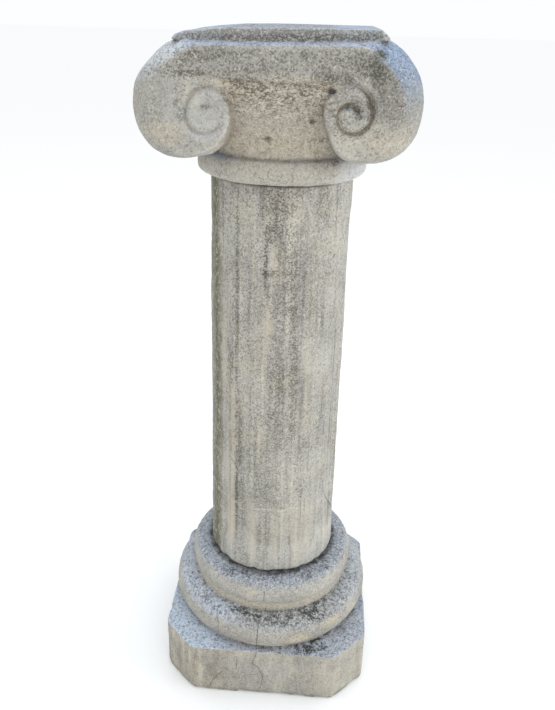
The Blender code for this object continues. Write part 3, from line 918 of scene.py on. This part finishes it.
def base_stone():
    stone = Stone("base_stone")
    up = stone.up.between(0.3, 0.9)
    turn, rise = stone.angle, stone.z
    radius = stone.radius
    left = turn.between(-98, -124) * turn.between(-178, -145)
    right = turn.between(-72, -50) * turn.between(130, 80)
    # Cream stone low on the left; painted light on what looks up and on the plinth's right, painted shade
    # on the plinth's sides; blue bloom with painted skylight, and grey lichen, on what looks up
    stone.tint(CREAM_STONE, left * rise.between(0.08, 0.072) * 0.35)
    # Paler on what looks up, most on the left: painted light
    stone.tint(PALE_STONE, up * (0.22 + left * 0.6))
    grey_crown = turn.between(-118, -98) * turn.between(150, 100) * up
    grey_crown = grey_crown * rise.between(0.14, 0.126) * rise.between(0.08, 0.096)
    grey_crown = grey_crown * (1 - turn.between(-52, -22) * 0.65)
    # The plinth's sides darkened, more on the left away from the light, as painted shade; lighter on the
    # right as painted light
    side = rise.between(PLINTH_HEIGHT - 0.001, PLINTH_HEIGHT - 0.004) * (1 - up)
    stone.shade(side * (0.16 + left * 0.14))
    stone.tint(LIGHT_CREAM, side * right * 0.3)
    torus_front = turn.near(-92, 34) * rise.near(0.094, 0.018) * (1 - up)
    stone.shade(torus_front * 0.3)
    # Blue on what looks up: partly bloom, partly painted skylight
    stone.tint(BLOOM_AND_SKYLIGHT, up * (1 - grey_crown * 0.65) * 0.55)
    # The plinth's top on the left pale blue: painted skylight
    stone.tint(PAINTED_SKYLIGHT_PALE, up * left * rise.between(0.086, 0.082) * 0.85)
    upper_top = up * rise.between(0.155, 0.162)
    stone.shade(upper_top * 0.26)
    stone.tint(LICHEN_GREY, grey_crown * 0.7)
    # The lower torus's top lighter on the right: painted light from the right
    torus_right = turn.near(-14, 42) * up * rise.between(0.084, 0.092) * rise.between(0.135, 0.125)
    stone.tint(PALE_STONE, torus_right * 0.28)
    # Rings of dark lichen, patches of cream and grey, and specks
    amount = 0.02 + up * 0.1 + grey_crown * 0.1 - side * 0.12
    clusters = stone.noise(0.0095, 3, 0.6, offset=2).between(0.44, 0.56)
    for middle, half, low, high, strength in BASE_LICHEN:
        growth = turn.near(middle, half) * radius.between(low - 0.004, low)
        growth = growth * radius.between(high + 0.004, high) * up * strength
        amount = amount + growth * (0.06 + clusters * 0.98)
        stone.tint(LICHEN, growth * clusters * 0.38)
    for patch in BASE_PALE:
        stone.tint(CREAM_STONE, stone.blot(turn, rise, patch))
    grey = stone.noise(0.04, 3, 0.5, offset=7).between(0.45, 0.65) * rise.between(0.085, 0.05)
    stone.tint(GREY_STONE, grey * 0.5)
    specks = stone.noise(0.0036, 2, 0.7, offset=17)
    torus_left = left * rise.between(0.082, 0.088) * rise.between(0.135, 0.128)
    stone.tint(LICHEN, up * specks.between(0.54, 0.65) * (0.56 + torus_left * 0.3))
    stone.tint(PALE_STONE, up * specks.between(0.49, 0.38) * (0.46 + torus_left * 0.34))
    stone.grain(amount, LICHEN)
    # Stains that run down the plinth, dirt and painted shade in the creases, dirt round the joint, moss and
    # cracks
    runs = stone.noise(0.012, 4, 0.65, along=0.22, offset=19)
    stone.shade(side * runs.between(0.5, 0.62) * (0.16 + left * 0.16))
    stone.tint(LIGHT_CREAM, side * runs.between(0.47, 0.37) * (0.24 + left * 0.22))
    fillet = rise.between(0.1245, 0.127) * rise.between(0.14, 0.137)
    # Brown in the creases, left off the fillet: partly dirt, partly painted shade
    dirt_and_shade = stone.hollow.between(0.1, 0.8) * (1 - fillet)
    stone.tint(BROWN_GRAIN, dirt_and_shade * (0.15 + clusters * 0.2))
    joint = (radius + stone.ragged * 0.01).between(0.093, 0.087) * up
    stone.tint(LICHEN, joint * (0.55 + clusters * 0.4))
    stone.tint(OLIVE, rise.between(0.011, 0.001) * clusters * 0.6)
    cracks = stone.crack(turn, rise, BASE_CRACKS[0], BASE_DEGREE, 0.001)
    for knots in BASE_CRACKS[1:]:
        cracks = cracks.most(stone.crack(turn, rise, knots, BASE_DEGREE, 0.0008))
    stone.tint(CRACK, cracks * (0.35 + clusters * 0.35))
    return stone.finish(cracks)


def shaft_stone():
    stone = Stone("shaft_stone")
    turn, rise = stone.angle, stone.z
    # The foot is cleaner than the rest; streaks and clouds of dark grain above it
    upper = rise.between(0.262, 0.285)
    streaks = stone.noise(0.011, 3, 0.6, along=0.1, offset=3)
    clouds = stone.noise(0.035, 3, 0.5, offset=5)
    amount = upper * 0.22 + rise.between(0.4, 0.6) * 0.08
    amount = amount + (streaks - 0.5) * (0.25 + upper * 0.65) + (clouds - 0.5) * upper * 0.6
    # Fewer dark grains on the right: part of the painted light from the right
    amount = amount - turn.between(-70, -35) * turn.between(150, 90) * 0.1
    amount = amount + turn.near(-92, 22) * 0.09
    # The right side paler: painted light from the right
    stone.tint(PALE_STONE, turn.between(-62, -34) * turn.between(20, -10) * 0.08)
    for patch in SHAFT_DARK:
        mask = stone.blot(turn, rise, patch)
        amount = amount + mask * 0.9
        stone.shade(mask * 0.5)
    for patch in SHAFT_CREAM:
        mask = stone.blot(turn, rise, patch)
        amount = amount - mask * 0.5
        stone.tint(CREAM_STONE, mask * 0.75)
    stone.tint(PALE_STONE, rise.between(0.24, 0.195) * 0.14)
    # Fine threads of wash, and the brown just under the capital
    threads = stone.noise(0.0048, 2, 0.5, along=0.035, offset=11)
    stone.tint(LIGHT_CREAM, threads.between(0.54, 0.7) * 0.38)
    stone.shade(threads.between(0.47, 0.32) * 0.4)
    brown = stone.blot(turn, rise, SHAFT_BROWN)
    stone.tint(BROWN_GRAIN, brown * 0.22)
    amount = amount + brown * 0.3
    stone.grain(amount, DARK_GRAIN)
    # Broken olive growth down the left side
    wander = stone.noise(0.016, 5, 0.7, along=0.4, offset=8) - 0.5
    olive = (turn + wander * 18).between(-138, -150) * (turn + wander * 40).between(-180, -150)
    broken = stone.noise(0.004, 3, 0.7, along=0.7, offset=9)
    stone.tint(OLIVE, olive * (0.36 + broken.between(0.38, 0.52) * 0.54))
    stone.tint(LIGHT_CREAM, olive * broken.between(0.44, 0.34) * 0.55)
    # The light line over the foot, dirt in the flutes and at the joints, and the crack
    stone.tint(LIGHT_GRAIN, rise.near(0.271, 0.0022) * streaks.between(0.4, 0.6) * 0.35)
    stone.tint(DARK_GRAIN, stone.hollow.between(0.25, 0.9) * 0.25)
    joint = rise.between(SHAFT_FOOT + 0.0065, SHAFT_FOOT) * clouds.between(0.3, 0.55)
    stone.tint(LICHEN, joint * 0.8)
    stone.tint(BROWN_GRAIN, rise.between(SHAFT_TOP - 0.003, SHAFT_TOP) * 0.45)
    cracks = stone.crack(turn, rise, SHAFT_CRACK, SHAFT_DEGREE, 0.0009)
    stone.tint(CRACK, cracks * 0.7)
    return stone.finish(cracks)


def capital_stone():
    stone = Stone("capital_stone")
    across, rise = stone.x, stone.z
    up = stone.up.between(0.3, 0.9)
    front = stone.front.between(0.25, 0.6)
    # Places on the capital: its slab, band, field, coils, right side and what lies beyond the arris
    level = rise + 0.0018 - across * 0.018
    slab = level.between(BODY_TOP - 0.001, BODY_TOP + 0.001)
    slab_side = slab * (1 - up)
    band = rise.between(BAND_FOOT - 0.002, BAND_FOOT + 0.006) * (1 - slab)
    width = abs(across)
    field = width.between(0.06, 0.044) * (1 - band) * rise.between(RING_TOP, RING_TOP + 0.006)
    left_reach = stone.away(across, rise, -EYE_SPACING / 2, RING_TOP + LEFT_VOLUTE[1])
    left_coil = left_reach.between(0.0255, 0.0235) * front
    right_reach = stone.away(across, rise, EYE_SPACING / 2, RING_TOP + RIGHT_VOLUTE[1])
    right_coil = right_reach.between(0.0255, 0.0235) * front
    beyond_arris = right_reach.between(0.05, 0.057) * across.between(0.08, 0.098)
    side = across.between(0.08, 0.096) * rise.between(0.742, 0.77) * (1 - beyond_arris)
    # Grey on the band and the sides, blue bloom with painted skylight above, painted warm bounce light
    # on the field, painted light on the left roll's top and the ring's right, a pale left coil and ring
    stone.tint(GREY_STONE, (band * 0.75 + side * 0.85) * (1 - up))
    stone.shade(side * (1 - up) * 0.22)
    stone.shade(right_coil * 0.2)
    # The field warmed: painted warm bounce light from below
    stone.tint(PAINTED_BOUNCE_WARMTH, field * (1 - left_coil) * (1 - right_coil) * 0.7)
    # Blue on what looks up, less on the ring's front: partly bloom, partly painted skylight
    ring_front = rise.between(RING_TOP + 0.012, RING_TOP + 0.004) * across.between(-0.07, -0.035)
    stone.tint(BLOOM_AND_SKYLIGHT, up * (1 - ring_front * 0.8) * 0.72)
    # The right roll's flank: painted skylight on its upper part, and darker lower down
    flank = beyond_arris * rise.between(0.735, 0.775) * (1 - slab)
    stone.tint(PAINTED_SKYLIGHT, flank * (0.14 + rise.between(0.762, 0.802) * 0.58))
    stone.shade(flank * rise.between(0.8, 0.78) * 0.14)
    # The left roll's upward faces pale: painted light
    pale = across.between(-0.07, -0.105) * stone.up.between(0.15, 0.65) * (1 - slab)
    stone.tint(PALE_STONE, pale * 0.8)
    stone.tint(SLAB_STONE, slab_side * 0.8)
    stone.tint(PALE_STONE, left_coil * 0.16)
    left_face = across.near(-0.1, 0.018) * rise.between(0.738, 0.752) * rise.between(0.796, 0.782)
    left_face = left_face * (1 - up) * (1 - left_coil)
    stone.tint(PALE_STONE, left_face * 0.15)
    outer_left = across.between(-0.094, -0.112) * (1 - up)
    stone.tint(GREY_STONE, outer_left * 0.62)
    ring = rise.between(RING_TOP + 0.003, RING_TOP - 0.002)
    stone.tint(RING_STONE, ring * (1 - up) * across.between(-0.085, -0.05) * 0.24)
    # The ring paler on its right: painted light
    stone.tint(PALE_STONE, ring * across.between(0.052, 0.075) * 0.62)
    # Brown worm-like pitting of the field, then the grain's amount and patches
    worms = stone.noise(0.0048, 3, 0.6, along=1.7, offset=6, bend=1.4)
    wormy = field * rise.between(0.738, 0.766) * worms.between(0.47, 0.58)
    clouds = stone.noise(0.022, 3, 0.55, offset=5)
    amount = 0.08 + band * 0.4 + slab_side * 0.68 + right_coil * 0.3 + side * 0.38 - ring * 0.04
    amount = amount - left_face * 0.18
    amount = amount - field * rise.between(0.744, 0.73) * 0.06
    amount = amount + (clouds - 0.5) * (0.5 + band * 0.7) - left_coil * 0.15
    for patch in CAPITAL_DARK:
        mask = stone.blot(across, rise, patch) * front
        amount = amount + mask
        stone.shade(mask * 0.55)
    for patch in CAPITAL_CREAM:
        stone.tint(CREAM_STONE, stone.blot(across, rise, patch))
    stone.tint(BROWN_GRAIN, wormy * (0.58 + rise.between(0.76, 0.782) * 0.27))
    light_worms = field * rise.between(0.738, 0.762) * worms.between(0.44, 0.34)
    stone.tint(LIGHT_CREAM, light_worms * 0.65)
    # Crust low in the field, grain all over, and dirt with painted shade in the carving
    crust = stone.noise(0.0075, 4, 0.7, offset=21)
    low_field = field * rise.between(0.752, 0.736)
    stone.tint(BROWN_GRAIN, low_field * crust.between(0.53, 0.64) * 0.34)
    stone.tint(LIGHT_CREAM, low_field * crust.between(0.46, 0.36) * 0.55)
    stone.grain(amount, DARK_GRAIN)
    # Brown in the hollows of the carving, more in the right coil's groove: partly dirt, partly painted
    # shade
    dirt_and_shade = stone.hollow.between(0.18, 0.9)
    stone.tint(BROWN_GRAIN, dirt_and_shade * (0.28 + right_coil * 0.3))
    stone.tint(LIGHT_GRAIN, stone.hollow.between(-0.3, -1.0) * 0.18)
    crease = rise.near(RING_TOP - 0.0005, 0.0028) * width.between(0.075, 0.045) * clouds.between(0.25, 0.55)
    stone.tint(BROWN_GRAIN, crease * 0.55)
    lip = stone.crack(across, rise, LIP_LINE, 1.0, 0.0016)
    stone.tint(BROWN_GRAIN, lip * front * clouds.between(0.3, 0.6) * 0.28)
    return stone.finish()


# Camera, light and floor

PHOTO_HEIGHT = 710
FOCAL_PIXELS = 713.51
CAMERA_PLACE = Vector((0.04843, -0.81551, 0.84840))
CAMERA_PITCH = radians(25.8916)
CAMERA_ROLL = radians(1.6201)
CAMERA_HEADING = radians(-3.3545)


def make_camera():
    data = bpy.data.cameras.new("camera")
    data.sensor_width = 36.0
    data.lens = FOCAL_PIXELS / PHOTO_HEIGHT * data.sensor_width
    camera = new_object("camera", data)
    turned = Matrix.Rotation(-CAMERA_HEADING, 4, "Z") @ Matrix.Rotation(pi / 2 - CAMERA_PITCH, 4, "X")
    rolled = turned @ Matrix.Rotation(CAMERA_ROLL, 4, "Z")
    camera.matrix_world = Matrix.Translation(CAMERA_PLACE) @ rolled
    bpy.context.scene.camera = camera


def make_light(name, place, target, size, power, colour):
    data = bpy.data.lights.new(name, "AREA")
    data.shape = "SQUARE"
    data.size = size
    data.energy = power
    data.color = colour
    light = new_object(name, data)
    light.location = place
    light.rotation_mode = "QUATERNION"
    light.rotation_quaternion = (Vector(target) - Vector(place)).to_track_quat("-Z", "Y")


def make_studio():
    world = bpy.data.worlds.new("studio")
    world.use_nodes = True
    background = world.node_tree.nodes["Background"]
    background.inputs["Color"].default_value = (0.98, 0.99, 1.0, 1.0)
    background.inputs["Strength"].default_value = 1.0
    bpy.context.scene.world = world
    middle = (0.0, 0.0, 0.45)
    make_light("sky", (0.1, 0.2, 2.6), middle, 2.0, 20.0, (0.72, 0.86, 1.0))
    make_light("front", (0.9, -2.2, 1.3), middle, 1.6, 6.0, (1.0, 0.97, 0.92))
    make_light("right", (2.2, -0.4, 1.0), middle, 1.4, 10.0, (1.0, 0.99, 0.98))
    bpy.context.scene.view_settings.view_transform = "Standard"
    floor_mesh = bpy.data.meshes.new("floor")
    half = 30.0
    corners = [(-half, -half, 0.0), (half, -half, 0.0), (half, half, 0.0), (-half, half, 0.0)]
    floor_mesh.from_pydata(corners, [], [(0, 1, 2, 3)])
    floor = new_object("floor", floor_mesh)
    paper = bpy.data.materials.new("floor")
    paper.use_nodes = True
    shader = paper.node_tree.nodes["Principled BSDF"]
    shader.inputs["Base Color"].default_value = (0.97, 0.97, 0.97, 1.0)
    shader.inputs["Roughness"].default_value = 1.0
    shader.inputs["Specular IOR Level"].default_value = 0.0
    floor_mesh.materials.append(paper)


def main():
    make_camera()
    make_studio()
    for make, finish, node in (
        (make_base, base_stone, "base"), (make_shaft, shaft_stone, "shaft"),
        (make_capital, capital_stone, "capital"),
    ):
        piece = make()
        piece.data.materials.append(finish())
        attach(piece, "root")
        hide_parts(node)


main()
